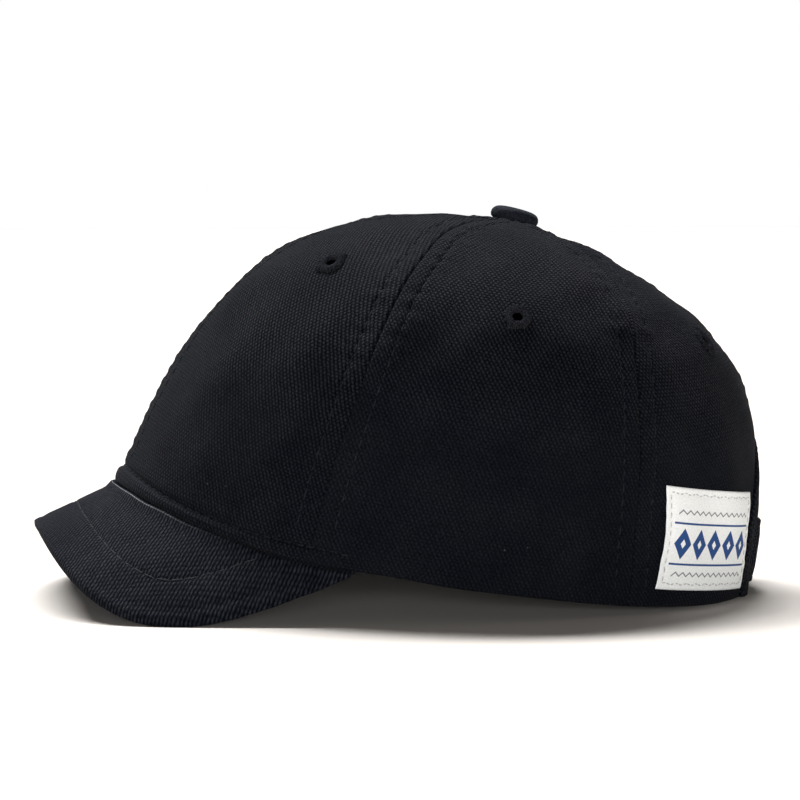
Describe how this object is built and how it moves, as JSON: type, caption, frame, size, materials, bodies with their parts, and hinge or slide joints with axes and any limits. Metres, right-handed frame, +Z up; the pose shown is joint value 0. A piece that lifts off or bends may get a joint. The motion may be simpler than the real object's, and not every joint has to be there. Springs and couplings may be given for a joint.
{
  "type": "baseball cap",
  "caption": "Short-brim six-panel cloth cap with sewn eyelets, a covered top button, a strap-back opening and a woven side label.",
  "frame": {"origin": "middle of the cap's footprint, on the surface that it rests on", "axes": "+Z up, the brim looks along -Y, the wearer's left side with the label is on +X"},
  "size_m": [0.163, 0.2326, 0.1225],
  "materials": {
    "crown_twill": "matt heavy cotton twill, near black",
    "brim_twill": "matt heavy cotton twill, near black",
    "button_twill": "matt cotton twill over a button",
    "eyelet_thread": "dense black embroidery thread",
    "hem_twill": "folded cotton twill",
    "strap_twill": "folded cotton twill",
    "slide_metal": "satin black",
    "label_woven": "off-white woven label with dark blue thread"
  },
  "bodies": {
    "root": {"crown_panel_front_left": "crown_twill", "crown_panel_front_right": "crown_twill", "crown_panel_side_left": "crown_twill", "crown_panel_side_right": "crown_twill", "crown_panel_back_left": "crown_twill", "crown_panel_back_right": "crown_twill", "eyelet_front_left": "eyelet_thread", "eyelet_front_right": "eyelet_thread", "eyelet_side_left": "eyelet_thread", "eyelet_side_right": "eyelet_thread", "eyelet_back_left": "eyelet_thread", "eyelet_back_right": "eyelet_thread", "top_button": "button_twill", "brim": "brim_twill", "opening_hem": "hem_twill", "back_strap": "strap_twill", "strap_slide": "slide_metal", "side_label": "label_woven"}
  },
  "joints": []
}
